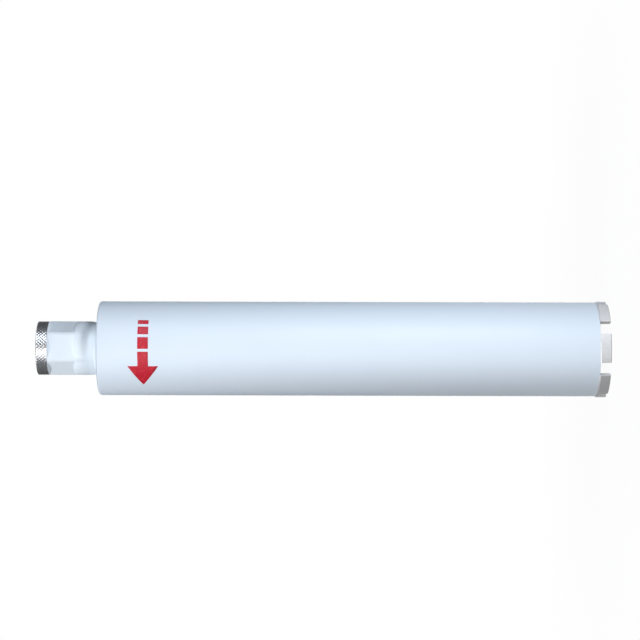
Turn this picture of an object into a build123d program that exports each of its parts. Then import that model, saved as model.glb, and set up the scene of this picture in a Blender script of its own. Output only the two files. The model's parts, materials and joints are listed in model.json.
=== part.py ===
from build123d import *
import math
import os

# Diamond core bit for wet drilling in concrete, standing on its crown with the hub up.
# Millimetres. +Z runs along the axis from the crown to the hub.
# The origin is the centre of the cutting plane.

# Crown: a ring of curved segments with open gaps between them
crown_diameter = 82.0
segment_count = 7
segment_chord = 24.5        # straight width of a segment across its outer face
segment_height = 9.0
side_clearance = 0.75       # a segment stands this far out of each side of the tube wall
cutting_edge_bevel = 0.8
segment_direction = -88.6   # middle of the first segment, degrees from +X
root_land = 0.25            # flat left on a segment's root between the tube wall and the weld
segment_weld_leg = 0.7      # height of the root weld on the tube wall

# Core tube
tube_length = 425.0
tube_wall = 2.5
tube_rim_bevel = 1.2        # outer corner at the hub end, ground off with the rim weld

# End plate, sunk flush in the hub end of the tube
plate_thickness = 10.0
plate_clearance = 0.05      # radial, plate in tube
plate_bevel = 2.0           # groove for the rim weld, which is ground flush

# Hub: neck, hexagon and knurled ring, turned and milled from one bar
hex_across_flats = 41.0
flat_depth = 2.5            # the round bar stands this far above each flat
hex_length = 24.0
hex_direction = -87.0       # normal of one flat, degrees from +X
shoulder_angle = 45.0       # slope of the shoulders at both ends of the flats, where they leave the bar
ring_length = 9.6
ring_bevel = 0.5
neck_length = 12.3          # full-diameter neck between the hexagon and the taper
neck_taper_length = 3.9
neck_root_step = 0.7        # the neck is smaller by this in radius where it is welded
spigot_diameter = 35.0
spigot_clearance = 0.05     # radial, spigot in plate
hub_weld_leg = 3.0
hub_weld_throat = 1.6       # from the root corner to the hollow of the face

# Hub thread and waterway
thread_minor_diameter = 28.0    # plain bore, the thread's crest circle
thread_mouth_bevel = 2.2        # leads the thread in, a little wider than its outer diameter
thread_depth = 36.0
waterway_diameter = 20.0

crown_radius = crown_diameter / 2
tube_radius = crown_radius - side_clearance
tube_bore_radius = tube_radius - tube_wall
segment_inner_radius = tube_bore_radius - side_clearance
segment_angle = 2 * math.degrees(math.asin(segment_chord / crown_diameter))
root_bevel = side_clearance - root_land
plate_radius = tube_bore_radius - plate_clearance

tube_foot_z = segment_height
tube_top_z = tube_foot_z + tube_length
plate_under_z = tube_top_z - plate_thickness
neck_foot_z = tube_top_z + hub_weld_leg
neck_full_z = neck_foot_z + neck_taper_length
hex_foot_z = neck_full_z + neck_length
hex_top_z = hex_foot_z + hex_length
hub_top_z = hex_top_z + ring_length

flat_radius = hex_across_flats / 2
hub_radius = flat_radius + flat_depth
neck_root_radius = hub_radius - neck_root_step
spigot_radius = spigot_diameter / 2


def turned(points):
    """A ring or shaft turned from its half section, a list of (radius, height)."""
    section = make_face(Plane.XZ * Polyline(*points, close=True))
    return revolve(section, Axis.Z)


def sector(points, middle, spread):
    """A piece of a ring: its half section swept through an angle about a direction."""
    section = make_face(Plane.XZ * Polyline(*points, close=True))
    return Rot(0, 0, middle - spread / 2) * revolve(section, Axis.Z, revolution_arc=spread)


def disc(radius, low, high):
    """A plain upright cylinder between two heights."""
    return Pos(0, 0, low) * Cylinder(radius, high - low, align=(Align.CENTER, Align.CENTER, Align.MIN))


def cone(low_radius, high_radius, low, high):
    """An upright cone frustum between two heights."""
    return Pos(0, 0, low) * Cone(
        low_radius, high_radius, high - low, align=(Align.CENTER, Align.CENTER, Align.MIN)
    )


def make_core_tube():
    tube = disc(tube_radius, tube_foot_z, tube_top_z) - disc(tube_bore_radius, tube_foot_z, tube_top_z)
    rim = tube.edges().filter_by(GeomType.CIRCLE).group_by(Axis.Z)[-1].sort_by(SortBy.RADIUS)[-1]
    return chamfer(rim, tube_rim_bevel)


def make_end_plate():
    bore = spigot_radius + spigot_clearance
    return turned([
        (bore, plate_under_z),
        (plate_radius, plate_under_z),
        (plate_radius, tube_top_z - plate_bevel),
        (plate_radius - plate_bevel, tube_top_z),
        (bore, tube_top_z),
    ])


def make_rim_weld():
    """The weld that fills the groove between plate and tube, ground flush."""
    return turned([
        (plate_radius - plate_bevel, tube_top_z),
        (plate_radius, tube_top_z - plate_bevel),
        (tube_bore_radius, tube_top_z - plate_bevel),
        (tube_bore_radius, tube_top_z),
    ])


def make_hub_weld():
    """The hollow fillet weld in the corner between neck and end plate."""
    inset = hub_weld_throat / math.sqrt(2)
    return turned([
        (neck_root_radius, neck_foot_z),
        (neck_root_radius, tube_top_z),
        (neck_root_radius + hub_weld_leg, tube_top_z),
        (neck_root_radius + inset, tube_top_z + inset),
    ])


def flat_cuts():
    """What is milled off the bar: six flats that run out in shoulders turned to a ball at both ends."""
    past_bar = 1.0
    slope = math.radians(shoulder_angle)
    ball = Sphere(hub_radius / math.cos(slope))
    ball_reach = hub_radius * math.tan(slope)
    slab = disc(hub_radius + past_bar, hex_foot_z, hex_top_z)
    hexagon = Rot(0, 0, hex_direction) * RegularPolygon(flat_radius, 6, major_radius=False, rotation=30)
    kept = Pos(0, 0, hex_foot_z) * extrude(hexagon, hex_length)
    low_shoulder = Pos(0, 0, hex_foot_z - ball_reach) * ball
    high_shoulder = Pos(0, 0, hex_top_z + ball_reach) * ball
    return slab - kept - low_shoulder - high_shoulder


def make_hub():
    bar = turned([
        (0, plate_under_z),
        (spigot_radius, plate_under_z),
        (spigot_radius, tube_top_z),
        (neck_root_radius, tube_top_z),
        (neck_root_radius, neck_foot_z),
        (hub_radius, neck_full_z),
        (hub_radius, hub_top_z - ring_bevel),
        (hub_radius - ring_bevel, hub_top_z),
        (0, hub_top_z),
    ])
    thread_radius = thread_minor_diameter / 2
    bore = disc(thread_radius, hub_top_z - thread_depth, hub_top_z)
    mouth_z = hub_top_z - thread_mouth_bevel
    mouth = cone(thread_radius, thread_radius + thread_mouth_bevel, mouth_z, hub_top_z)
    waterway = disc(waterway_diameter / 2, plate_under_z, hub_top_z)
    return bar - flat_cuts() - bore - mouth - waterway


def segment_middle(number):
    """Direction of a segment, counted from one."""
    return segment_direction + (number - 1) * 360 / segment_count


def make_segment(number):
    outer = crown_radius
    inner = segment_inner_radius
    return sector([
        (inner + cutting_edge_bevel, 0),
        (outer - cutting_edge_bevel, 0),
        (outer, cutting_edge_bevel),
        (outer, segment_height - root_bevel),
        (outer - root_bevel, segment_height),
        (inner + root_bevel, segment_height),
        (inner, segment_height - root_bevel),
        (inner, cutting_edge_bevel),
    ], segment_middle(number), segment_angle)


def make_segment_weld(number):
    """The two thin weld beads along a segment's root, outside and inside the tube wall."""
    outer_bead = [
        (tube_radius, segment_height + segment_weld_leg),
        (tube_radius, segment_height),
        (crown_radius - root_bevel, segment_height),
        (crown_radius, segment_height - root_bevel),
    ]
    inner_bead = [
        (tube_bore_radius, segment_height + segment_weld_leg),
        (tube_bore_radius, segment_height),
        (segment_inner_radius + root_bevel, segment_height),
        (segment_inner_radius, segment_height - root_bevel),
    ]
    middle = segment_middle(number)
    return Compound([
        sector(outer_bead, middle, segment_angle),
        sector(inner_bead, middle, segment_angle),
    ])


pieces = {
    "core_tube": make_core_tube(),
    "end_plate": make_end_plate(),
    "hub": make_hub(),
    "rim_weld": make_rim_weld(),
    "hub_weld": make_hub_weld(),
}
for number in range(1, segment_count + 1):
    pieces[f"segment_{number}"] = make_segment(number)
    pieces[f"segment_weld_{number}"] = make_segment_weld(number)

os.makedirs("parts", exist_ok=True)
for name, piece in pieces.items():
    export_step(piece, f"parts/{name}.step")
    print(name, round(piece.volume, 1))
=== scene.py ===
"""Dresses the diamond core bit and sets its studio.

The bit stands on its crown with +Z up, in metres. The camera looks along +Y with +X up in the
picture, so the bit lies across the picture with its hub at the left. Angles about the axis are
counted from +X, and the side that faces the camera is at -90 degrees.
"""

import json
import logging
import math
from dataclasses import dataclass
from enum import Enum

import bpy
import numpy as np
from mathutils import Matrix, Vector


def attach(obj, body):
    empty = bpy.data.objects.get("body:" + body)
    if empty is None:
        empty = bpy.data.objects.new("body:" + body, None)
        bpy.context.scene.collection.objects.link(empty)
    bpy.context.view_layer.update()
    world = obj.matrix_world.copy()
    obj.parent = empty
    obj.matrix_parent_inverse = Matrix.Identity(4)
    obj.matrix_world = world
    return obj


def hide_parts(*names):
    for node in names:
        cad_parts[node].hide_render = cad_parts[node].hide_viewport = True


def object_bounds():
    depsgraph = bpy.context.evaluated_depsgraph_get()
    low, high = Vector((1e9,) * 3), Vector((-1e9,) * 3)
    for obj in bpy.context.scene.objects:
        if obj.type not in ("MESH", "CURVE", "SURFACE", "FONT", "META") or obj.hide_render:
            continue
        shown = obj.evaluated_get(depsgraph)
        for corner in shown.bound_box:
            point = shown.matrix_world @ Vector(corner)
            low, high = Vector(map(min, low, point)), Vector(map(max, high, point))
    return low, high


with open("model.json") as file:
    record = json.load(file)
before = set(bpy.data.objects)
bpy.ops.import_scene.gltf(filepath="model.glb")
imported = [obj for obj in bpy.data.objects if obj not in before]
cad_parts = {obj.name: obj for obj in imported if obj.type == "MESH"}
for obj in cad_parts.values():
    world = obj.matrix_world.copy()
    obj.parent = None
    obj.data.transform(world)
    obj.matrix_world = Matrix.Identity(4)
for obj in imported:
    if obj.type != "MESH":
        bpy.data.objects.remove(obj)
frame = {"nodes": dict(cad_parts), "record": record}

CAD_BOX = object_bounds()
LOG = logging.getLogger("core_bit")
MM = 0.001
FULL_TURN = 2 * math.pi
FRONT = -90.0
BODY = "root"

# Places of the colour sockets on a Mix node that mixes colours
MIX_FACTOR = 0
MIX_FIRST = 6
MIX_SECOND = 7
MIX_RESULT = 2

# The paint's orange peel, which the print on it follows
PEEL_SIZE = 1.6 * MM
PEEL_DEPTH = 0.012 * MM

Colour = tuple[float, float, float, float]


class Slot(Enum):
    """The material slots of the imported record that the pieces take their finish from."""

    BARREL = "barrel_paint"
    HUB = "hub_paint"
    STEEL = "bare_steel"
    MATRIX = "diamond_matrix"
    MARK = "direction_mark"


def grey(level: float) -> Colour:
    """A neutral colour of one linear level."""
    return (level, level, level, 1.0)


# Shapes


def soften(corners: np.ndarray, setback: float | np.ndarray) -> np.ndarray:
    """Rounds every corner of a closed outline.

    Each corner becomes a parabola that leaves its two edges at the setback distance:
    (1 - s)^2 * start + 2 s (1 - s) * corner + s^2 * end, for s from 0 to 1. One holding point
    further out on each edge keeps the straight stretches flat under smooth shading.

    Args:
        corners: The outline's corners, as rows of (radius, height).
        setback: Distance from the corner at which its curve starts, one for all or one each.

    Returns:
        The softened outline, as rows of (radius, height).
    """
    curve_points = 5
    hold = 1.5
    reach = np.broadcast_to(np.asarray(setback, float), len(corners))[:, None]
    before = np.roll(corners, 1, axis=0) - corners
    after = np.roll(corners, -1, axis=0) - corners
    before = before / np.linalg.norm(before, axis=1, keepdims=True) * reach
    after = after / np.linalg.norm(after, axis=1, keepdims=True) * reach
    s = np.linspace(0.0, 1.0, curve_points)[None, :, None]
    start = (corners + before)[:, None]
    end = (corners + after)[:, None]
    curve = (1 - s) ** 2 * start + 2 * s * (1 - s) * corners[:, None] + s**2 * end
    hold_in = (corners + before * hold)[:, None]
    hold_out = (corners + after * hold)[:, None]
    return np.concatenate([hold_in, curve, hold_out], axis=1).reshape(-1, 2)


def refine(outline: np.ndarray, step: float, heights: tuple[float, float],
           radii: tuple[float, float]) -> np.ndarray:
    """Adds points to one stretch of a closed outline.

    The outline is read at even distances along its length, and the readings whose height and
    radius are within the given limits join the outline's own points.

    Args:
        outline: Rows of (radius, height).
        step: Distance between the added points.
        heights: Lowest and highest height of the stretch.
        radii: Smallest and largest radius of the stretch.

    Returns:
        The finer outline, as rows of (radius, height).
    """
    loop = np.vstack([outline, outline[:1]])
    along = np.concatenate([[0.0], np.cumsum(np.linalg.norm(np.diff(loop, axis=0), axis=1))])
    even = np.arange(0.0, along[-1], step)
    radius = np.interp(even, along, loop[:, 0])
    height = np.interp(even, along, loop[:, 1])
    chosen = (height > heights[0]) & (height < heights[1]) & (radius > radii[0]) & (radius < radii[1])
    places = np.union1d(along[:-1], even[chosen])
    return np.stack([np.interp(places, along, loop[:, k]) for k in (0, 1)], axis=1)


def turn(radius: np.ndarray, height: np.ndarray, angle: np.ndarray) -> np.ndarray:
    """Points at a radius, height and angle about the axis.

    x is radius times cosine, y is radius times sine, and z is height.

    Args:
        radius: Distances from the axis.
        height: Heights above the floor.
        angle: Angles about the axis, in radians.

    Returns:
        Points whose last dimension is (x, y, z), with the arrays broadcast together.
    """
    radius, height, angle = np.broadcast_arrays(radius, height, angle)
    return np.stack([radius * np.cos(angle), radius * np.sin(angle), height], axis=-1)


def around(columns: int) -> np.ndarray:
    """Even angles once round the axis, in radians, as one row."""
    return np.linspace(0.0, FULL_TURN, columns, endpoint=False)[None, :]


def ease(value: np.ndarray) -> np.ndarray:
    """A smooth step from 0 to 1: 3 t^2 - 2 t^3 with t held between 0 and 1."""
    t = np.clip(value, 0.0, 1.0)
    return t * t * (3 - 2 * t)


def soft_larger(first: np.ndarray, second: np.ndarray, blend: float) -> np.ndarray:
    """The larger of two values, rounded where they cross: half of a + b + sqrt((a - b)^2 + blend^2)."""
    return (first + second + np.sqrt((first - second) ** 2 + blend**2)) / 2


def soft_smaller(first: np.ndarray, second: np.ndarray, blend: float) -> np.ndarray:
    """The smaller of two values, rounded where they cross."""
    return -soft_larger(-first, -second, blend)


def six_volumes(a: np.ndarray, b: np.ndarray, c: np.ndarray) -> float:
    """Six times the signed volume between triangles and the origin: the sum of a . (b x c)."""
    return float(np.einsum("ij,ij->", a, np.cross(b, c)))


@dataclass
class Shell:
    """One closed surface: a grid of points whose rows run round a section."""

    points: np.ndarray
    closed_columns: bool = True

    def faces(self) -> list[list[int]]:
        """The surface's faces, turned so that they point outwards.

        Rows always join up. Columns join up on a full ring, and otherwise the first and the last
        column are each closed by one flat face. A negative volume means that every face is the
        wrong way round.

        Returns:
            The corner numbers of each face.
        """
        rows, columns, _ = self.points.shape
        spans = columns if self.closed_columns else columns - 1
        i, j = np.meshgrid(np.arange(rows), np.arange(spans), indexing="ij")
        row = i * columns
        next_row = (i + 1) % rows * columns
        next_j = (j + 1) % columns
        quads = np.stack([row + j, row + next_j, next_row + next_j, next_row + j], axis=-1)
        quads = quads.reshape(-1, 4)
        first = np.arange(rows) * columns
        caps = [] if self.closed_columns else [first, first[::-1] + columns - 1]
        flat = self.points.reshape(-1, 3)
        a, b, c, d = (flat[quads[:, k]] for k in range(4))
        volume = six_volumes(a, b, c) + six_volumes(a, c, d)
        for cap in caps:
            fan = flat[cap]
            volume += six_volumes(np.broadcast_to(fan[0], fan[1:-1].shape), fan[1:-1], fan[2:])
        listed = quads.tolist() + [cap.tolist() for cap in caps]
        return listed if volume > 0 else [face[::-1] for face in listed]


@dataclass(frozen=True)
class Extent:
    """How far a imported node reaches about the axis, in metres and radians."""

    inner: float
    outer: float
    low: float
    high: float
    middle: float
    spread: float

    @classmethod
    def of(cls, node: str) -> "Extent":
        """Measures a node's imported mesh.

        Args:
            node: Name of the node.

        Returns:
            Its smallest and largest radius, its heights, its middle angle and its spread of angles.
        """
        mesh = frame["nodes"][node].data
        points = np.empty(len(mesh.vertices) * 3)
        mesh.vertices.foreach_get("co", points)
        points = points.reshape(-1, 3)
        radius = np.hypot(points[:, 0], points[:, 1])
        centre = points[:, :2].mean(axis=0)
        middle = math.atan2(centre[1], centre[0])
        angle = np.arctan2(points[:, 1], points[:, 0]) - middle
        angle = (angle + math.pi) % FULL_TURN - math.pi
        return cls(
            inner=float(radius.min()),
            outer=float(radius.max()),
            low=float(points[:, 2].min()),
            high=float(points[:, 2].max()),
            middle=middle + float(angle.max() + angle.min()) / 2,
            spread=float(angle.max() - angle.min()),
        )


# Finishes


class Signal:
    """A shader value that Python arithmetic turns into Math nodes."""

    def __init__(self, graph: "Graph", socket: bpy.types.NodeSocket) -> None:
        """Wraps an output socket of a graph's node."""
        self.graph = graph
        self.socket = socket

    def _math(self, operation: str, first: "Signal | float", second: "Signal | float") -> "Signal":
        """Adds one Math node and wraps its result."""
        return self.graph.signal("ShaderNodeMath", {"operation": operation}, {0: first, 1: second})

    def __add__(self, other: "Signal | float") -> "Signal":
        """This value plus another."""
        return self._math("ADD", self, other)

    def __radd__(self, other: float) -> "Signal":
        """A number plus this value."""
        return self._math("ADD", other, self)

    def __sub__(self, other: "Signal | float") -> "Signal":
        """This value minus another."""
        return self._math("SUBTRACT", self, other)

    def __rsub__(self, other: float) -> "Signal":
        """A number minus this value."""
        return self._math("SUBTRACT", other, self)

    def __mul__(self, other: "Signal | float") -> "Signal":
        """This value times another."""
        return self._math("MULTIPLY", self, other)

    def __rmul__(self, other: float) -> "Signal":
        """A number times this value."""
        return self._math("MULTIPLY", other, self)

    def __pow__(self, other: float) -> "Signal":
        """This value to a power."""
        return self._math("POWER", self, other)

    def largest(self, other: "Signal | float") -> "Signal":
        """The larger of this value and another."""
        return self._math("MAXIMUM", self, other)

    def rise(self, low: float, high: float) -> "Signal":
        """A smooth step of this value.

        Args:
            low: Value up to which the step is 0.
            high: Value from which the step is 1.

        Returns:
            The step.
        """
        return self.graph.signal(
            "ShaderNodeMapRange",
            {"interpolation_type": "SMOOTHSTEP"},
            {"Value": self, "From Min": low, "From Max": high, "To Min": 0.0, "To Max": 1.0},
        )


class Graph:
    """A node tree that is written as calls."""

    def __init__(self, tree: bpy.types.NodeTree) -> None:
        """Starts with an empty tree."""
        self.tree = tree
        tree.nodes.clear()

    def node(self, kind: str, settings: dict | None = None,
             sockets: dict | None = None) -> bpy.types.Node:
        """Adds a node.

        Args:
            kind: Blender's name of the node type.
            settings: Properties of the node, set before its sockets.
            sockets: For an input's name or place, the number, colour, Signal or output that it gets.

        Returns:
            The new node.
        """
        made = self.tree.nodes.new(kind)
        for key, value in (settings or {}).items():
            setattr(made, key, value)
        for key, value in (sockets or {}).items():
            if isinstance(value, Signal):
                self.tree.links.new(value.socket, made.inputs[key])
            elif isinstance(value, bpy.types.NodeSocket):
                self.tree.links.new(value, made.inputs[key])
            else:
                made.inputs[key].default_value = value
        return made

    def signal(self, kind: str, settings: dict | None = None, sockets: dict | None = None,
               output: int | str = 0) -> Signal:
        """Adds a node and wraps one of its outputs, named or counted."""
        return Signal(self, self.node(kind, settings, sockets).outputs[output])

    def mix(self, factor: Signal | float, first: Signal | Colour, second: Signal | Colour) -> Signal:
        """A colour between two colours.

        Args:
            factor: 0 for the first colour, 1 for the second, or a value between.
            first: The first colour.
            second: The second colour.

        Returns:
            The mixed colour.
        """
        return self.signal(
            "ShaderNodeMix",
            {"data_type": "RGBA"},
            {MIX_FACTOR: factor, MIX_FIRST: first, MIX_SECOND: second},
            MIX_RESULT,
        )


class Skin(Graph):
    """The node tree of one surface finish, with the patterns that the finishes share."""

    def __init__(self, name: str) -> None:
        """Makes the material and reads where a point lies on the bit.

        Args:
            name: The material's name.
        """
        self.material = bpy.data.materials.new(name)
        self.material.use_nodes = True
        super().__init__(self.material.node_tree)
        self.place = self.signal("ShaderNodeTexCoord", output="Object")
        parts = self.node("ShaderNodeSeparateXYZ", sockets={0: self.place})
        self.x, y, self.z = (Signal(self, part) for part in parts.outputs)
        self.radius = (self.x * self.x + y * y) ** 0.5

    def cloud(self, size: float, detail: float = 2.0, where: Signal | None = None) -> Signal:
        """A soft random pattern around 0.5.

        Args:
            size: About how large its blotches are, in metres.
            detail: How many finer patterns lie on top, each half the size of the last.
            where: The place that it is read at, in place of the point on the bit.

        Returns:
            The pattern.
        """
        return self.signal(
            "ShaderNodeTexNoise",
            {"noise_dimensions": "3D"},
            {"Vector": where or self.place, "Scale": 1.0 / size, "Detail": detail, "Roughness": 0.55},
        )

    def specks(self, size: float) -> Signal:
        """The distance from the nearest of many scattered points, in parts of their spacing.

        Args:
            size: About how far apart the points are, in metres.

        Returns:
            The distance.
        """
        return self.signal(
            "ShaderNodeTexVoronoi",
            {"feature": "F1"},
            {"Vector": self.place, "Scale": 1.0 / size, "Randomness": 1.0},
            "Distance",
        )

    def lathe_lines(self, size: float) -> Signal:
        """Fine random lines that run round the axis, as a lathe tool leaves them."""
        section = self.signal("ShaderNodeCombineXYZ", sockets={"X": self.radius, "Y": 0.0, "Z": self.z})
        return self.cloud(size, detail=3.0, where=section)

    def relief(self, height: Signal, depth: float) -> Signal:
        """A surface direction that follows a pattern of the given depth in metres."""
        sockets = {"Strength": 1.0, "Distance": depth, "Height": height}
        return self.signal("ShaderNodeBump", sockets=sockets, output="Normal")

    def orange_peel(self) -> Signal:
        """The finely uneven surface of sprayed paint."""
        return self.relief(self.cloud(PEEL_SIZE, detail=1.5), PEEL_DEPTH)

    def finish(self, sockets: dict) -> bpy.types.Material:
        """Ends the tree with one Principled shader.

        Args:
            sockets: The shader's inputs.

        Returns:
            The finished material.
        """
        shader = self.signal("ShaderNodeBsdfPrincipled", sockets=sockets)
        self.node("ShaderNodeOutputMaterial", sockets={"Surface": shader})
        return self.material


@dataclass(frozen=True)
class SatinPaint:
    """Pale blue-white sprayed paint with a fine orange peel, over steel that stays bare inside."""

    name: str
    colour: Colour
    tone: Colour
    bare_within: float
    bare_below: float = 1.0
    bare_edge: float = 0.15 * MM
    roughness: float = 0.46
    gloss_level: float = 0.35
    drift_size: float = 60 * MM
    drift_gloss: float = 0.05
    mist_size: float = 0.5 * MM
    mist_gloss: float = 0.06
    bare_colour: Colour = (0.30, 0.295, 0.29, 1.0)
    bare_roughness: float = 0.5
    bare_metallic: float = 0.85
    scale_colour: Colour = grey(0.16)
    scale_size: float = 7 * MM

    def material(self) -> bpy.types.Material:
        """Builds the paint.

        The colour drifts a little towards the second tone over wide blotches, and the gloss with
        it. Within the bare radius and below the bare height the paint gives way to rolled steel
        with darker scale.

        Returns:
            The material.
        """
        skin = Skin(self.name)
        drift = skin.cloud(self.drift_size, detail=3.0).rise(0.3, 0.7)
        mist = skin.cloud(self.mist_size)
        scale = skin.cloud(self.scale_size, detail=6.0).rise(0.3, 0.75)
        inside = 1 - skin.radius.rise(self.bare_within, self.bare_within + self.bare_edge)
        bare = inside * (1 - skin.z.rise(self.bare_below - self.bare_edge, self.bare_below))
        paint = skin.mix(drift, self.colour, self.tone)
        steel = skin.mix(scale, self.bare_colour, self.scale_colour)
        gloss = self.roughness + self.drift_gloss * (drift - 0.5) + self.mist_gloss * (mist - 0.5)
        return skin.finish({
            "Base Color": skin.mix(bare, paint, steel),
            "Metallic": self.bare_metallic * bare,
            "Roughness": gloss + (self.bare_roughness - self.roughness) * bare,
            "Specular IOR Level": self.gloss_level,
            "Normal": skin.orange_peel(),
        })


@dataclass(frozen=True)
class TurnedSteel:
    """Bare machined steel with lathe lines, with painted shade where it lies below its crests."""

    name: str
    colour: Colour
    # Colour of the painted shade in the bottoms of the grooves
    painted_hollow_shade: Colour
    crest: float
    hollow: float
    roughness: float
    metallic: float = 1.0
    hollow_matt: float = 0.12
    film_size: float = 4 * MM
    film_shade: float = 0.8
    film_matt: float = 0.12
    line_size: float = 0.22 * MM
    line_depth: float = 0.01 * MM

    def material(self) -> bpy.types.Material:
        """Builds the steel.

        The crests are at the crest radius and the bottoms of the grooves at the hollow radius.
        The colour goes from the crests' steel to a darker painted shade in the grooves, and oil film
        clouds the crests a little.

        Returns:
            The material.
        """
        skin = Skin(self.name)
        lines = skin.lathe_lines(self.line_size)
        film = skin.cloud(self.film_size, detail=4.0)
        raised = skin.radius.rise(min(self.crest, self.hollow), max(self.crest, self.hollow))
        if self.hollow > self.crest:
            raised = 1 - raised
        matt = self.film_matt * (film - 0.5) + self.hollow_matt * (1 - raised)
        filmed = tuple(self.film_shade * part for part in self.colour[:3]) + (1.0,)
        bright = skin.mix(film.rise(0.35, 0.75), self.colour, filmed)
        return skin.finish({
            # Painted shade: the grooves take the darker colour for the shade that falls in them
            "Base Color": skin.mix(raised, self.painted_hollow_shade, bright),
            "Metallic": self.metallic,
            "Roughness": self.roughness + matt,
            "Normal": skin.relief(lines, self.line_depth),
        })


@dataclass(frozen=True)
class SinteredMatrix:
    """Sintered metal of a cutting segment: fine grained, with grit and a few bright diamonds."""

    name: str
    colour: Colour = (0.75, 0.75, 0.755, 1.0)
    pore_colour: Colour = (0.50, 0.50, 0.51, 1.0)
    # Painted shade: the outer faces darken towards this colour over the reach towards -X
    painted_shade_colour: Colour = (0.40, 0.41, 0.415, 1.0)
    diamond_colour: Colour = (0.92, 0.93, 0.94, 1.0)
    painted_shade_reach: tuple[float, float] = (0.0, 27 * MM)
    skin_depth: tuple[float, float] = (0.7 * MM, 0.2 * MM)
    grain_size: float = 0.35 * MM
    layer_size: float = 1.6 * MM
    grit_size: float = 0.9 * MM
    diamond_patch: float = 1.4 * MM
    pore_share: float = 0.45
    layer_share: float = 0.2
    metallic: float = 0.15
    diamond_metallic: float = 0.05
    roughness: float = 0.42
    pore_matt: float = 0.16
    diamond_gloss: float = 0.2
    grit_relief: float = 0.4
    relief_depth: float = 0.02 * MM

    def material(self) -> bpy.types.Material:
        """Builds the matrix.

        Cells about a millimetre apart hold the grit. The heart of a few of them is a bright
        diamond, a fine cloud makes the dark pores between, and layers from pressing show as faint
        clouds. The outer faces carry painted shade that grows darker towards -X, as on the crown
        that was photographed.

        Returns:
            The material.
        """
        skin = Skin(self.name)
        crown_radius = Extent.of("segment_1").outer
        grain = skin.cloud(self.grain_size, detail=4.0)
        layers = skin.cloud(self.layer_size, detail=1.0)
        grit = skin.specks(self.grit_size)
        chosen = skin.cloud(self.diamond_patch, detail=0.0).rise(0.56, 0.62)
        diamond = (1 - grit.rise(0.10, 0.20)) * chosen
        pores = 1 - grain.rise(0.30, 0.48)
        outer_face = skin.radius.rise(*(crown_radius - depth for depth in self.skin_depth))
        # Painted shade: a mask that darkens the outer faces towards -X
        tint = (0.0 - skin.x).rise(*self.painted_shade_reach) * outer_face
        dark = self.pore_share * pores + self.layer_share * layers.rise(0.3, 0.7)
        clean = skin.mix(dark, self.colour, self.pore_colour)
        body = skin.mix(tint * (0.8 + 0.2 * pores), clean, self.painted_shade_colour)
        return skin.finish({
            "Base Color": skin.mix(diamond, body, self.diamond_colour),
            "Metallic": self.metallic + (self.diamond_metallic - self.metallic) * diamond,
            "Roughness": self.roughness + self.pore_matt * pores - self.diamond_gloss * diamond,
            "Normal": skin.relief(grain - self.grit_relief * grit, self.relief_depth),
        })


@dataclass(frozen=True)
class WeldMetal:
    """Bright weld metal, clean and a little uneven."""

    name: str
    colour: Colour = (0.86, 0.86, 0.87, 1.0)
    shade: Colour = (0.66, 0.67, 0.69, 1.0)
    metallic: float = 0.3
    roughness: float = 0.28
    cloud_matt: float = 0.2
    cloud_size: float = 0.8 * MM
    cloud_depth: float = 0.03 * MM

    def material(self) -> bpy.types.Material:
        """Builds the weld metal from two close greys and a soft unevenness.

        Returns:
            The material.
        """
        skin = Skin(self.name)
        cloud = skin.cloud(self.cloud_size, detail=3.0)
        return skin.finish({
            "Base Color": skin.mix(cloud.rise(0.4, 0.7), self.colour, self.shade),
            "Metallic": self.metallic,
            "Roughness": self.roughness + self.cloud_matt * cloud,
            "Normal": skin.relief(cloud, self.cloud_depth),
        })


@dataclass(frozen=True)
class PrintInk:
    """Screen-printed red, thin enough to follow the paint's orange peel."""

    name: str
    colour: Colour = (0.56, 0.012, 0.030, 1.0)
    thin_colour: Colour = (0.66, 0.045, 0.065, 1.0)
    roughness: float = 0.46
    thin_matt: float = 0.05
    gloss_level: float = 0.4
    thin_size: float = 2.5 * MM

    def material(self) -> bpy.types.Material:
        """Builds the ink, a little lighter where the film is thin.

        Returns:
            The material.
        """
        skin = Skin(self.name)
        thin = skin.cloud(self.thin_size, detail=4.0).rise(0.50, 0.72)
        return skin.finish({
            "Base Color": skin.mix(thin, self.colour, self.thin_colour),
            "Roughness": self.roughness + self.thin_matt * thin,
            "Specular IOR Level": self.gloss_level,
            "Normal": skin.orange_peel(),
        })


# Pieces


def add_object(name: str, points: list, faces: list, material: bpy.types.Material) -> bpy.types.Object:
    """Adds an object at the origin.

    Args:
        name: Its name.
        points: Its points.
        faces: The corner numbers of its faces.
        material: Its finish.

    Returns:
        The new object.
    """
    mesh = bpy.data.meshes.new(name)
    mesh.from_pydata(points, [], faces)
    mesh.materials.append(material)
    added = bpy.data.objects.new(name, mesh)
    bpy.context.scene.collection.objects.link(added)
    return added


def add_piece(name: str, shells: list[Shell], material: bpy.types.Material,
              stands_for: tuple[str, ...] = ()) -> None:
    """Makes one piece of the bit from closed surfaces and lets it ride on the bit's body.

    Args:
        name: The piece's name.
        shells: The closed surfaces it consists of.
        material: Its finish.
        stands_for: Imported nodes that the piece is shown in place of.
    """
    points: list[np.ndarray] = []
    faces: list[list[int]] = []
    for shell in shells:
        start = sum(len(rows) for rows in points)
        faces += [[corner + start for corner in face] for face in shell.faces()]
        points.append(shell.points.reshape(-1, 3))
    piece = add_object(name, np.concatenate(points).tolist(), faces, material)
    piece.data.polygons.foreach_set("use_smooth", np.ones(len(faces), bool))
    piece.data.update()
    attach(piece, BODY)
    if stands_for:
        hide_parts(*stands_for)
    LOG.info("%s: %d faces, in place of %s", name, len(faces), ", ".join(stands_for) or "nothing")


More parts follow.
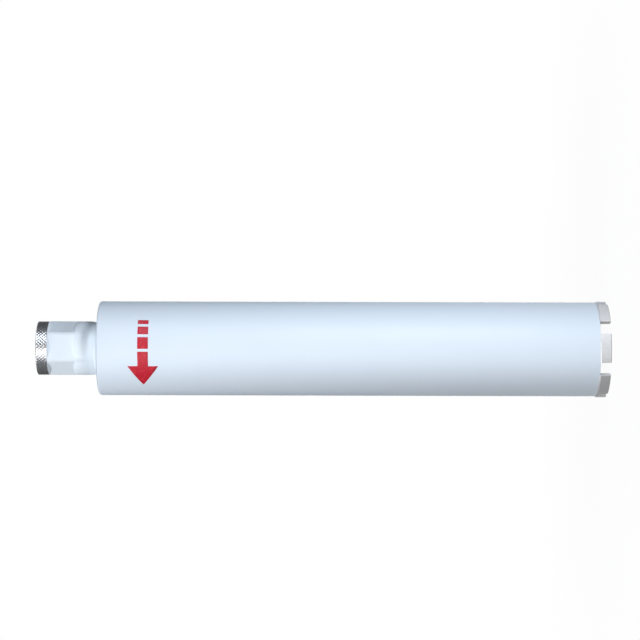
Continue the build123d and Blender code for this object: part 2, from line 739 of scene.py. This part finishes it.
@dataclass
class WeldBead:
    """A weld in a corner, as a section that is swept about the axis.

    The face runs from start to end, hollowed by sag, and carries ripples. The root points close
    the section behind it.
    """

    start: tuple[float, float]
    end: tuple[float, float]
    root: list[tuple[float, float]]
    sag: float
    ripple: float
    ripple_spacing: float
    face_rows: int = 14

    def shell(self, angles: np.ndarray, closed: bool) -> Shell:
        """Sweeps the bead.

        A face point is start + s (end - start), moved along the face's outward direction by
        -4 s (1 - s) sag and by ripple * sin(pi s) * sin(waves * angle - 2 s), so that the ripples
        are crescents that fade out at both edges.

        Args:
            angles: The angles that the bead passes, as one row, in radians.
            closed: Whether the bead runs all round.

        Returns:
            The closed surface.
        """
        start = np.array(self.start)
        end = np.array(self.end)
        root = np.array(self.root)
        across = end - start
        outward = np.array([-across[1], across[0]]) / np.linalg.norm(across)
        if outward @ (root.mean(axis=0) - start) > 0:
            outward = -outward
        s = np.linspace(0.0, 1.0, self.face_rows)[:, None]
        waves = round(FULL_TURN * start[0] / self.ripple_spacing)
        crescents = np.sin(math.pi * s) * np.sin(waves * angles - 2 * s)
        lift = self.ripple * crescents - 4 * s * (1 - s) * self.sag
        radius = start[0] + s * across[0] + outward[0] * lift
        height = start[1] + s * across[1] + outward[1] * lift
        back = np.ones_like(angles)
        radius = np.vstack([radius, root[:, :1] * back])
        height = np.vstack([height, root[:, 1:] * back])
        return Shell(turn(radius, height, angles), closed)


@dataclass
class Barrel:
    """The painted core tube with its end plate and the weld that joins them."""

    rim_bevel: float = 1.2 * MM
    rim_round: float = 0.7 * MM
    foot_round: float = 0.12 * MM
    columns: int = 384
    weld_columns: int = 768
    weld_crown: float = 0.06 * MM
    weld_ripple: float = 0.03 * MM
    weld_ripple_spacing: float = 3.2 * MM

    def build(self, paint: SatinPaint) -> None:
        """Makes the tube and the rim weld and paints the end plate.

        Args:
            paint: The barrel's paint.
        """
        material = paint.material()
        self._tube(material)
        self._rim_weld(material)
        plate = frame["nodes"]["end_plate"]
        plate.data.materials.clear()
        plate.data.materials.append(material)
        LOG.info("end_plate: painted as packed")

    def _tube(self, material: bpy.types.Material) -> None:
        """Turns the tube's softened wall section once round.

        Args:
            material: Its finish.
        """
        tube = Extent.of("core_tube")
        corners = np.array([
            (tube.inner, tube.low),
            (tube.outer, tube.low),
            (tube.outer, tube.high - self.rim_bevel),
            (tube.outer - self.rim_bevel, tube.high),
            (tube.inner, tube.high),
        ])
        foot, rim = self.foot_round, self.rim_round
        wall = soften(corners, np.array([foot, foot, rim, rim, foot]))
        points = turn(wall[:, :1], wall[:, 1:], around(self.columns))
        add_piece("barrel_tube", [Shell(points)], material, ("core_tube",))

    def _rim_weld(self, material: bpy.types.Material) -> None:
        """Sweeps the ground weld between plate and tube, left a hair proud.

        Args:
            material: Its finish.
        """
        weld = Extent.of("rim_weld")
        plate = Extent.of("end_plate")
        bead = WeldBead(
            start=(weld.inner, weld.high),
            end=(weld.outer, weld.high),
            root=[(weld.outer, weld.low), (plate.outer, weld.low)],
            sag=-self.weld_crown,
            ripple=self.weld_ripple,
            ripple_spacing=self.weld_ripple_spacing,
        )
        shell = bead.shell(around(self.weld_columns), True)
        add_piece("rim_weld_bead", [shell], material, ("rim_weld",))


@dataclass
class Hub:
    """The drive hub: painted neck and hexagon, bare knurled ring and thread, and the hub weld."""

    spigot_radius: float = 17.5 * MM
    waterway_radius: float = 10.0 * MM
    neck_root_step: float = 0.7 * MM
    neck_root_height: float = 3.0 * MM
    neck_taper: float = 3.9 * MM
    hexagon_length: float = 24.0 * MM
    ring_length: float = 9.6 * MM
    ring_bevel: float = 0.5 * MM
    shoulder_angle: float = math.radians(45.0)
    edge_blend: float = 0.16 * MM
    edge_round: float = 0.14 * MM
    neck_round: float = 0.84 * MM
    hidden_round: float = 0.02 * MM
    body_columns: int = 576
    body_step: float = 0.25 * MM

    knurl_start: float = 0.6 * MM
    knurl_depth: float = 0.10 * MM
    knurl_grooves: int = 48
    knurl_groove_share: float = 0.5
    knurl_slant: float = math.radians(45.0)
    knurl_fade: float = 0.35 * MM
    knurl_columns_per_groove: int = 15
    knurl_step: float = 0.11 * MM
    knurl_margin: float = 0.05 * MM

    thread_pitch: float = 25.4 / 7 * MM
    thread_height: float = 1.85 * MM
    thread_crest_share: float = 0.16
    thread_root_share: float = 0.22
    thread_blind: float = 4.5 * MM
    thread_columns: int = 192
    thread_step: float = 0.15 * MM
    thread_margin: float = 0.02 * MM

    weld_hollow: float = 0.5 * MM
    weld_ripple: float = 0.09 * MM
    weld_ripple_spacing: float = 2.6 * MM

    def __post_init__(self) -> None:
        """Reads the hub's packed size, its flats and its thread."""
        mounts = {mount["name"]: mount for mount in frame["record"]["mounts"]}
        flat_x, flat_y, _ = mounts["spanner_flat"]["pos_m"]
        self.apothem = math.hypot(flat_x, flat_y)
        self.flat_direction = math.atan2(flat_y, flat_x)
        thread = mounts["hub_thread"]
        self.size = Extent.of("hub")
        self.bore_radius = thread["dims"]["r_mm"] * MM
        self.mouth_bevel = self.size.high - thread["pos_m"][2]
        self.thread_low = thread["pos_m"][2] - thread["dims"]["length_mm"] * MM
        self.seat = Extent.of("core_tube").high
        self.neck_full = self.seat + self.neck_root_height + self.neck_taper
        self.ring_low = self.size.high - self.ring_length
        self.hex_low = self.ring_low - self.hexagon_length
        self.mouth_radius = self.bore_radius + self.mouth_bevel

    def build(self, paint: SatinPaint, steel: TurnedSteel, thread_steel: TurnedSteel) -> None:
        """Makes the hub's pieces.

        Args:
            paint: Finish of the neck, the hexagon and the weld.
            steel: Finish of the knurled ring.
            thread_steel: Finish of the thread.
        """
        painted = paint.material()
        self._body(painted)
        self._ring(steel.material())
        self._thread(thread_steel.material())
        self._weld(painted)

    def _flat_limit(self, height: np.ndarray, angle: np.ndarray) -> np.ndarray:
        """How far out the hexagon and its shoulders let the bar reach.

        A flat lies at apothem / cos(angle from the flat's normal). A shoulder is a ball about the
        axis: sqrt(ball^2 - (height - centre)^2), with its centre so far off the flats' end that
        the ball has the bar's radius there. The limit is the largest of the three.

        Args:
            height: Heights of the points.
            angle: Angles of the points, in radians.

        Returns:
            The largest radius allowed at each point.
        """
        flats = 6
        side = FULL_TURN / flats
        off = (angle - self.flat_direction + side / 2) % side - side / 2
        flat = self.apothem / np.cos(off)
        ball = self.size.outer / math.cos(self.shoulder_angle)
        reach = self.size.outer * math.tan(self.shoulder_angle)
        low_ball = np.sqrt(np.maximum(ball**2 - (height - self.hex_low + reach) ** 2, 0.0))
        high_ball = np.sqrt(np.maximum(ball**2 - (height - self.ring_low - reach) ** 2, 0.0))
        return soft_larger(flat, soft_larger(low_ball, high_ball, self.edge_blend), self.edge_blend)

    def _body(self, material: bpy.types.Material) -> None:
        """Turns the spigot, the neck and the bar, and mills the hexagon into the bar.

        Args:
            material: Its finish.
        """
        hub = self.size
        root_radius = hub.outer - self.neck_root_step
        corners = np.array([
            (self.spigot_radius, hub.low),
            (self.spigot_radius, self.seat),
            (root_radius, self.seat),
            (root_radius, self.seat + self.neck_root_height),
            (hub.outer, self.neck_full),
            (hub.outer, self.ring_low),
            (self.mouth_radius, self.ring_low),
            (self.mouth_radius, self.thread_low),
            (self.waterway_radius, self.thread_low),
            (self.waterway_radius, hub.low),
        ])
        setback = np.where(corners[:, 1] == self.neck_full, self.neck_round, self.edge_round)
        heights = (self.hex_low, self.ring_low)
        bar = refine(soften(corners, setback), self.body_step, heights, (root_radius, math.inf))
        angle = around(self.body_columns)
        limit = self._flat_limit(bar[:, 1:], angle)
        radius = soft_smaller(bar[:, :1], limit, self.edge_blend)
        points = turn(radius, bar[:, 1:], angle)
        add_piece("hub_body", [Shell(points)], material, ("hub",))

    def _knurl(self, height: np.ndarray, angle: np.ndarray) -> np.ndarray:
        """How deep the diamond knurl cuts.

        Two sets of grooves cross at plus and minus the slant. Each is a row of V shapes,
        1 - |2 t - 1| / share, where t is the part of a groove spacing that the point has passed,
        and the deeper of the two sets counts. Both fade out at the knurl's two ends.

        Args:
            height: Heights of the points.
            angle: Angles of the points, in radians.

        Returns:
            Depth at each point, in metres.
        """
        spacing = FULL_TURN * self.size.outer / self.knurl_grooves
        axial = spacing / math.tan(self.knurl_slant)
        round_part = self.knurl_grooves * angle / FULL_TURN
        up_part = height / axial

        def grooves(place: np.ndarray) -> np.ndarray:
            """One set of V grooves, from 0 on the lands to 1 at the bottoms."""
            return np.clip(1 - np.abs(2 * (place % 1.0) - 1) / self.knurl_groove_share, 0.0, 1.0)

        cut = np.maximum(grooves(round_part + up_part), grooves(round_part - up_part))
        low = self.ring_low + self.knurl_start
        high = self.size.high - self.ring_bevel
        fade = ease((height - low) / self.knurl_fade) * ease((high - height) / self.knurl_fade)
        return self.knurl_depth * cut * fade

    def _ring(self, material: bpy.types.Material) -> None:
        """Turns the ring with its bevel and cuts the knurl into the points on its rim.

        Args:
            material: Its finish.
        """
        hub = self.size
        corners = np.array([
            (self.mouth_radius, self.ring_low),
            (hub.outer, self.ring_low),
            (hub.outer, hub.high - self.ring_bevel),
            (hub.outer - self.ring_bevel, hub.high),
            (self.mouth_radius, hub.high),
        ])
        hidden, edge = self.hidden_round, self.edge_round
        section = soften(corners, np.array([hidden, edge, edge, edge, hidden]))
        rim = hub.outer - self.knurl_margin
        heights = (self.ring_low, hub.high - self.ring_bevel)
        section = refine(section, self.knurl_step, heights, (rim, math.inf))
        angle = around(self.knurl_grooves * self.knurl_columns_per_groove)
        on_rim = section[:, :1] > rim
        radius = section[:, :1] - on_rim * self._knurl(section[:, 1:], angle)
        points = turn(radius, section[:, 1:], angle)
        add_piece("knurled_ring", [Shell(points)], material)

    def _thread(self, material: bpy.types.Material) -> None:
        """Cuts the female thread into a sleeve that lines the hub.

        t is the part of a pitch that the point has passed, height / pitch - angle / full turn.
        The groove's depth is a trapezium of t with flats on its crest and root. The bore is the
        larger of the thread and the lead-in cone, and the thread runs out above the blind end.
        The sleeve's back, in the hub, stays plain.

        Args:
            material: Its finish.
        """
        top = self.size.high
        sleeve = np.array([
            (self.bore_radius, self.thread_low),
            (self.mouth_radius, self.thread_low),
            (self.mouth_radius, top),
            (self.bore_radius, top - self.mouth_bevel),
        ])
        radii = (0.0, self.mouth_radius - self.thread_margin)
        inside = refine(sleeve, self.thread_step, (self.thread_low, top), radii)
        angle = around(self.thread_columns)
        radius, height = inside[:, :1], inside[:, 1:]
        t = (height / self.thread_pitch - angle / FULL_TURN) % 1.0
        slope = (1 - self.thread_crest_share - self.thread_root_share) / 2
        groove = np.clip((0.5 - self.thread_crest_share / 2 - np.abs(t - 0.5)) / slope, 0.0, 1.0)
        run_out = ease((height - self.thread_low - self.thread_blind) / self.thread_pitch)
        threaded = self.bore_radius + self.thread_height * groove * run_out
        bored = radius < self.mouth_radius - self.thread_margin / 2
        radius = np.where(bored, np.maximum(radius, threaded), radius)
        add_piece("hub_thread_sleeve", [Shell(turn(radius, height, angle))], material)

    def _weld(self, material: bpy.types.Material) -> None:
        """Sweeps the hollow weld between the neck and the end plate.

        Args:
            material: Its finish.
        """
        weld = Extent.of("hub_weld")
        bead = WeldBead(
            start=(weld.inner, weld.high),
            end=(weld.outer, weld.low),
            root=[(weld.inner, weld.low)],
            sag=self.weld_hollow,
            ripple=self.weld_ripple,
            ripple_spacing=self.weld_ripple_spacing,
        )
        shell = bead.shell(around(self.body_columns), True)
        add_piece("hub_weld_bead", [shell], material, ("hub_weld",))


@dataclass
class Crown:
    """The seven cutting segments and the weld lines along their roots."""

    edge_bevel: float = 0.8 * MM
    root_land: float = 0.25 * MM
    edge_round: float = 0.12 * MM
    end_round: float = 0.22 * MM
    end_columns: int = 5
    columns: int = 44
    weld_columns: int = 120
    weld_hollow: float = 0.05 * MM
    weld_ripple: float = 0.06 * MM
    weld_ripple_spacing: float = 0.9 * MM
    weld_face_rows: int = 8

    def build(self, matrix: SinteredMatrix, weld: WeldMetal) -> None:
        """Makes every segment with its two weld lines.

        Args:
            matrix: Finish of the segments.
            weld: Finish of the weld lines.
        """
        matrix_material = matrix.material()
        weld_material = weld.material()
        count = sum(name.startswith("segment_weld_") for name in frame["nodes"])
        for number in range(1, count + 1):
            self._segment(number, matrix_material)
            self._weld_lines(number, weld_material)

    def _segment(self, number: int, material: bpy.types.Material) -> None:
        """Sweeps a segment's section through its angle, with rounded ends.

        Towards each end the section shrinks about its middle by end_round (1 - sin q), where the
        angle is short of the end by end_round (1 - cos q) / radius, for q from a right angle down
        to zero, so that the end's edges are quarter rounds.

        Args:
            number: The segment's number, from one.
            material: Its finish.
        """
        node = f"segment_{number}"
        size = Extent.of(node)
        tube = Extent.of("core_tube")
        root_bevel = size.outer - tube.outer - self.root_land
        corners = np.array([
            (size.inner + self.edge_bevel, size.low),
            (size.outer - self.edge_bevel, size.low),
            (size.outer, size.low + self.edge_bevel),
            (size.outer, size.high - root_bevel),
            (size.outer - root_bevel, size.high),
            (size.inner + root_bevel, size.high),
            (size.inner, size.high - root_bevel),
            (size.inner, size.low + self.edge_bevel),
        ])
        section = soften(corners, self.edge_round)
        centre = np.array([(size.inner + size.outer) / 2, (size.low + size.high) / 2])
        quarter = np.linspace(0.0, math.pi / 2, self.end_columns)
        inset = self.end_round * (1 - np.sin(quarter))
        forward = self.end_round * (1 - np.cos(quarter)) / centre[0]
        half = size.spread / 2
        middle = np.linspace(-half + forward[-1], half - forward[-1], self.columns)[1:-1]
        angle = size.middle + np.concatenate([-half + forward, middle, half - forward[::-1]])
        shrink = np.concatenate([inset, np.zeros(len(middle)), inset[::-1]])
        half_size = np.array([size.outer - centre[0], size.high - centre[1]])
        factor = 1 - shrink[None, :, None] / half_size
        grown = centre + (section - centre)[:, None, :] * factor
        points = turn(grown[..., 0], grown[..., 1], angle[None, :])
        add_piece(f"{node}_matrix", [Shell(points, False)], material, (node,))

    def _weld_lines(self, number: int, material: bpy.types.Material) -> None:
        """Sweeps the outer and the inner weld line of a segment.

        Args:
            number: The segment's number, from one.
            material: Their finish.
        """
        node = f"segment_weld_{number}"
        segment = Extent.of(f"segment_{number}")
        tube = Extent.of("core_tube")
        line = Extent.of(node)
        root_bevel = segment.outer - tube.outer - self.root_land
        half = segment.spread / 2
        angle = np.linspace(segment.middle - half, segment.middle + half, self.weld_columns)[None, :]
        shells = []
        for wall, face, inwards in ((tube.outer, segment.outer, 1), (tube.inner, segment.inner, -1)):
            bead = WeldBead(
                start=(wall, line.high),
                end=(face, segment.high - root_bevel),
                root=[(face - inwards * root_bevel, segment.high), (wall, segment.high)],
                sag=self.weld_hollow,
                ripple=self.weld_ripple,
                ripple_spacing=self.weld_ripple_spacing,
                face_rows=self.weld_face_rows,
            )
            shells.append(bead.shell(angle, False))
        add_piece(f"{node}_bead", shells, material, (node,))


@dataclass
class DirectionMark:
    """A printed arrow on the barrel that shows which way the bit turns when it drills."""

    below_top: float = 39.7 * MM
    tail_angle: float = FRONT + 36.0
    tip_angle: float = FRONT - 49.0
    shaft_width: float = 9.0 * MM
    head_width: float = 26.0 * MM
    head_length: float = 19.0 * MM
    gap: float = 2.4 * MM
    dash_lengths: tuple[float, ...] = (4.0 * MM, 7.0 * MM, 10.0 * MM)
    proud: float = 0.05 * MM
    sunk: float = 0.03 * MM
    tip_blunt: float = 0.5 * MM
    column_step: float = 0.5 * MM
    fewest_columns: int = 8
    rows: int = 9

    def __post_init__(self) -> None:
        """Reads the barrel's packed size, and places the arrow's middle line on it."""
        tube = Extent.of("core_tube")
        self.radius = tube.outer
        self.height = tube.high - self.below_top

    def build(self, ink: PrintInk) -> None:
        """Prints the arrow: three dashes that grow towards a shaft with a head.

        Args:
            ink: The print's finish.
        """
        length = self.radius * math.radians(self.tail_angle - self.tip_angle)
        dashes = np.array(self.dash_lengths)
        ends = np.cumsum(dashes + self.gap)
        starts = ends - dashes - self.gap
        neck = length - self.head_length
        shaft = (self.shaft_width, self.shaft_width)
        stretches = [*zip(starts, starts + dashes), (ends[-1], neck)]
        plates = [self._plate(stretch, shaft) for stretch in stretches]
        plates.append(self._plate((neck, length), (self.head_width, self.tip_blunt)))
        add_piece("direction_arrow", plates, ink.material())

    def _plate(self, stretch: tuple[float, float], widths: tuple[float, float]) -> Shell:
        """One stretch of print, as a thin plate wrapped round the barrel.

        Its angle is the tail's angle minus the distance along the arrow over the barrel's radius,
        and its width goes evenly from one end's to the other's. The rows of the upper face run
        forwards and those of the lower face run back, so that the plate's long edges join.

        Args:
            stretch: Distances of its two ends from the arrow's tail.
            widths: Its widths at the two ends.

        Returns:
            The closed plate.
        """
        start, end = stretch
        columns = max(self.fewest_columns, round((end - start) / self.column_step))
        along = np.linspace(start, end, columns)[None, :]
        across = np.linspace(-0.5, 0.5, self.rows)[:, None]
        width = widths[0] + (widths[1] - widths[0]) * (along - start) / (end - start)
        angle = math.radians(self.tail_angle) - along / self.radius
        height = self.height + across * width
        top = turn(self.radius + self.proud, height, angle)
        under = turn(self.radius - self.sunk, height, angle)
        return Shell(np.concatenate([top, under[::-1]], axis=0), False)


# Studio


@dataclass
class Softbox:
    """A flat rectangular lamp that faces the middle of the bit.

    The angle is counted about the bit's axis from the camera's side, positive towards the top of
    the picture. Radiance 1 is as bright as white.
    """

    name: str
    angle: float
    distance: float
    low: float
    high: float
    width: float
    radiance: float
    tint: tuple[float, float, float] = (1.0, 1.0, 1.0)

    def build(self, aim_height: float) -> None:
        """Hangs the lamp.

        Args:
            aim_height: Height of the point on the axis that the lamp faces.
        """
        length = self.high - self.low
        lamp = bpy.data.lights.new(self.name, "AREA")
        lamp.shape = "RECTANGLE"
        lamp.size = self.width
        lamp.size_y = length
        lamp.energy = self.radiance * math.pi * self.width * length
        lamp.color = self.tint
        holder = bpy.data.objects.new(self.name, lamp)
        turned = math.radians(FRONT + self.angle)
        height = (self.low + self.high) / 2
        place = Vector((self.distance * math.cos(turned), self.distance * math.sin(turned), height))
        outward = (place - Vector((0.0, 0.0, aim_height))).normalized()
        side = Vector((0.0, 0.0, 1.0)).cross(outward).normalized()
        axes = Matrix((side, outward.cross(side), outward)).transposed().to_4x4()
        holder.matrix_world = Matrix.Translation(place) @ axes
        holder.visible_camera = False
        bpy.context.scene.collection.objects.link(holder)
        LOG.info("%s: %.2f by %.2f m", self.name, self.width, length)


@dataclass
class PhotoCamera:
    """The photograph's view: square on to the axis, from a little nearer the crown's end."""

    distance: float = 1.78
    height: float = 0.2453
    picture: float = 640.0
    focal_pixels: float = 2072.0
    axis_below_middle: float = 28.7
    tilt: float = math.radians(0.15)
    sensor: float = 36.0

    def build(self) -> None:
        """Sets the camera.

        It is pitched up until the bit's axis lies the given number of pixels below the picture's
        middle, and rolled by the tilt so that the crown's end is a little lower.
        """
        pitch = math.atan(self.axis_below_middle / self.focal_pixels)
        forward = Vector((math.sin(pitch), math.cos(pitch), 0.0))
        right = Vector((0.0, 0.0, -1.0))
        up = right.cross(forward)
        level_right = right * math.cos(self.tilt) + up * math.sin(self.tilt)
        level_up = up * math.cos(self.tilt) - right * math.sin(self.tilt)
        lens = bpy.data.cameras.new("photo_camera")
        lens.sensor_width = self.sensor
        lens.lens = self.focal_pixels / self.picture * self.sensor
        holder = bpy.data.objects.new("photo_camera", lens)
        axes = Matrix((level_right, level_up, -forward)).transposed().to_4x4()
        holder.matrix_world = Matrix.Translation((0.0, -self.distance, self.height)) @ axes
        bpy.context.scene.collection.objects.link(holder)
        bpy.context.scene.camera = holder


@dataclass(frozen=True)
class Flag:
    """A strip of dark cloth: heights above the barrel's top and angles from the camera's side."""

    height: tuple[float, float]
    span: tuple[float, float]


@dataclass
class Studio:
    """Pale floor, white surroundings, a dim curtain for the steel to reflect, flags and softboxes."""

    floor_size: float = 14.0
    floor_white_share: float = 0.96
    floor_fade: tuple[float, float] = (0.1, 0.6)
    floor_colour: Colour = (0.85, 0.86, 0.88, 1.0)
    floor_bounce_colour: Colour = (0.26, 0.265, 0.27, 1.0)
    ambient: Colour = (0.86, 0.95, 1.0, 1.0)
    ambient_strength: float = 0.02
    curtain_radius: float = 3.0
    curtain_height: float = 3.2
    curtain_span: tuple[float, float] = (-165.0, 155.0)
    cloth_colour: Colour = (0.05, 0.052, 0.056, 1.0)
    cloth_columns: int = 64
    flag_radius: float = 0.045
    flags: tuple[Flag, ...] = (
        Flag((0.0020, 0.0085), (41.0, 78.0)),
        Flag((0.0085, 0.0130), (-60.0, 41.0)),
    )

    def build(self, lamps: list[Softbox], camera: PhotoCamera) -> None:
        """Sets the stage.

        Args:
            lamps: The softboxes.
            camera: The camera.
        """
        middle = (CAD_BOX[0].z + CAD_BOX[1].z) / 2
        self._world()
        self._floor()
        self._curtain()
        for number, flag in enumerate(self.flags):
            self._hang_flag(f"studio_flag_{number}", flag)
        for lamp in lamps:
            lamp.build(middle)
        camera.build()
        bpy.context.scene.view_settings.view_transform = "Standard"

    def _seen(self, graph: Graph) -> Signal:
        """Tells the rays that look at the surroundings from those that light up a surface.

        Args:
            graph: The node tree to read them in.

        Returns:
            1 for rays that come straight, from a reflection or through something, and otherwise 0.
        """
        path = graph.node("ShaderNodeLightPath").outputs
        camera, glossy, through = (
            Signal(graph, path[f"Is {kind} Ray"]) for kind in ("Camera", "Glossy", "Transmission")
        )
        return camera.largest(glossy).largest(through)

    def _world(self) -> None:
        """White where it is looked at, and a dimmer, slightly blue light for the surfaces."""
        world = bpy.data.worlds.new("studio_world")
        world.use_nodes = True
        graph = Graph(world.node_tree)
        light = graph.signal(
            "ShaderNodeBackground", sockets={"Color": self.ambient, "Strength": self.ambient_strength}
        )
        white = graph.signal("ShaderNodeBackground", sockets={"Color": grey(1.0), "Strength": 1.0})
        mixed = graph.signal("ShaderNodeMixShader", sockets={0: self._seen(graph), 1: light, 2: white})
        graph.node("ShaderNodeOutputWorld", sockets={"Surface": mixed})
        bpy.context.scene.world = world

    def _floor(self) -> None:
        """A pale floor with a faint shadow of the bit, which fades to plain white away from it.

        It throws less light back at the bit than its paleness would.
        """
        material = bpy.data.materials.new("studio_floor")
        material.use_nodes = True
        graph = Graph(material.node_tree)
        place = graph.node("ShaderNodeTexCoord").outputs["Object"]
        away = graph.signal("ShaderNodeVectorMath", {"operation": "LENGTH"}, {0: place}, "Value")
        paper = graph.signal("ShaderNodeBsdfDiffuse", sockets={"Color": self.floor_colour})
        dim = graph.signal("ShaderNodeBsdfDiffuse", sockets={"Color": self.floor_bounce_colour})
        white = graph.signal("ShaderNodeEmission", sockets={"Color": grey(1.0), "Strength": 1.0})
        share = self.floor_white_share + (1 - self.floor_white_share) * away.rise(*self.floor_fade)
        looked_at = graph.signal("ShaderNodeMixShader", sockets={0: share, 1: paper, 2: white})
        mixed = graph.signal("ShaderNodeMixShader", sockets={0: self._seen(graph), 1: dim, 2: looked_at})
        graph.node("ShaderNodeOutputMaterial", sockets={"Surface": mixed})
        half = self.floor_size / 2
        level = CAD_BOX[0].z
        square = ((-half, -half), (half, -half), (half, half), (-half, half))
        corners = [(x, y, level) for x, y in square]
        add_object("studio_floor", corners, [(0, 1, 2, 3)], material)

    def _curtain(self) -> None:
        """A curved curtain round the front, which only reflections see."""
        height = (CAD_BOX[0].z, self.curtain_height)
        curtain = self._cloth("studio_curtain", self.curtain_radius, height, self.curtain_span)
        curtain.visible_camera = False
        curtain.visible_diffuse = False
        curtain.visible_shadow = False

    def _hang_flag(self, name: str, flag: Flag) -> None:
        """Hangs a strip of cloth close to the hub's neck, where only its soft shadow is seen.

        Args:
            name: Its name.
            flag: Where it hangs.
        """
        seat = Extent.of("core_tube").high
        height = (seat + flag.height[0], seat + flag.height[1])
        strip = self._cloth(name, self.flag_radius, height, flag.span)
        strip.visible_camera = False
        strip.visible_glossy = False
        strip.visible_diffuse = False

    def _cloth(self, name: str, radius: float, height: tuple[float, float],
               span: tuple[float, float]) -> bpy.types.Object:
        """Hangs dark cloth on an arc about the bit's axis.

        Args:
            name: Name of the cloth.
            radius: The arc's radius.
            height: Heights of its lower and upper edge.
            span: Its first and last angle from the camera's side, in degrees.

        Returns:
            The cloth.
        """
        material = bpy.data.materials.new(name)
        material.use_nodes = True
        graph = Graph(material.node_tree)
        matt = graph.signal("ShaderNodeBsdfDiffuse", sockets={"Color": self.cloth_colour})
        graph.node("ShaderNodeOutputMaterial", sockets={"Surface": matt})
        columns = self.cloth_columns
        angle = np.radians(FRONT + np.linspace(*span, columns))
        points = turn(np.float64(radius), np.array(height)[:, None], angle[None, :]).reshape(-1, 3)
        j = np.arange(columns - 1)
        faces = np.stack([j, j + 1, j + 1 + columns, j + columns], axis=1)
        cloth = add_object(name, points.tolist(), faces.tolist(), material)
        return cloth


def main() -> None:
    """Builds the bit and its studio."""
    logging.basicConfig(level=logging.INFO, format="%(name)s %(message)s")
    tube = Extent.of("core_tube")
    hub = Hub()
    barrel_paint = SatinPaint(
        "barrel_paint",
        colour=(0.775, 0.862, 0.955, 1.0),
        tone=(0.765, 0.852, 0.945, 1.0),
        bare_within=tube.inner + 0.45 * MM,
        bare_below=tube.high - 0.5 * MM,
    )
    hub_paint = SatinPaint(
        "hub_paint",
        colour=(0.79, 0.865, 0.93, 1.0),
        tone=(0.78, 0.855, 0.92, 1.0),
        bare_within=hub.mouth_radius + 0.3 * MM,
        roughness=0.44,
    )
    ring_steel = TurnedSteel(
        "ring_steel",
        colour=(0.62, 0.625, 0.64, 1.0),
        # Painted shade in the knurl's grooves
        painted_hollow_shade=(0.30, 0.305, 0.32, 1.0),
        crest=hub.size.outer - 0.02 * MM,
        hollow=hub.size.outer - 0.13 * MM,
        roughness=0.22,
        metallic=0.78,
    )
    thread_steel = TurnedSteel(
        "thread_steel",
        colour=(0.55, 0.54, 0.53, 1.0),
        # Painted shade in the thread's grooves
        painted_hollow_shade=(0.22, 0.22, 0.22, 1.0),
        crest=hub.bore_radius,
        hollow=hub.bore_radius + 1.8 * MM,
        roughness=0.32,
    )
    Barrel().build(barrel_paint)
    hub.build(hub_paint, ring_steel, thread_steel)
    Crown().build(SinteredMatrix("segment_matrix"), WeldMetal("segment_weld"))
    DirectionMark().build(PrintInk("direction_ink"))
    # Each lamp's name, angle, distance, lowest and highest height, width, radiance and tint
    lamps = [
        Softbox("key_softbox", -23.0, 1.7, 0.61, 1.50, 1.45, 2.55, (0.98, 1.0, 1.06)),
        Softbox("front_softbox", -15.0, 1.7, 0.22, 0.60, 1.05, 3.5, (1.10, 1.0, 0.88)),
        Softbox("upper_softbox", 42.0, 1.7, 0.10, 0.58, 1.10, 7.8, (0.93, 1.01, 1.10)),
        Softbox("crown_softbox", 40.0, 0.5, 0.02, 0.16, 0.20, 6.0, (0.96, 1.0, 1.06)),
        Softbox("hub_softbox", -60.0, 0.5, 0.85, 1.15, 0.30, 12.0, (0.96, 1.0, 1.04)),
        Softbox("back_softbox", 180.0, 1.7, 0.10, 0.70, 0.60, 5.5),
    ]
    Studio().build(lamps, PhotoCamera())


if __name__ == "__main__":
    main()
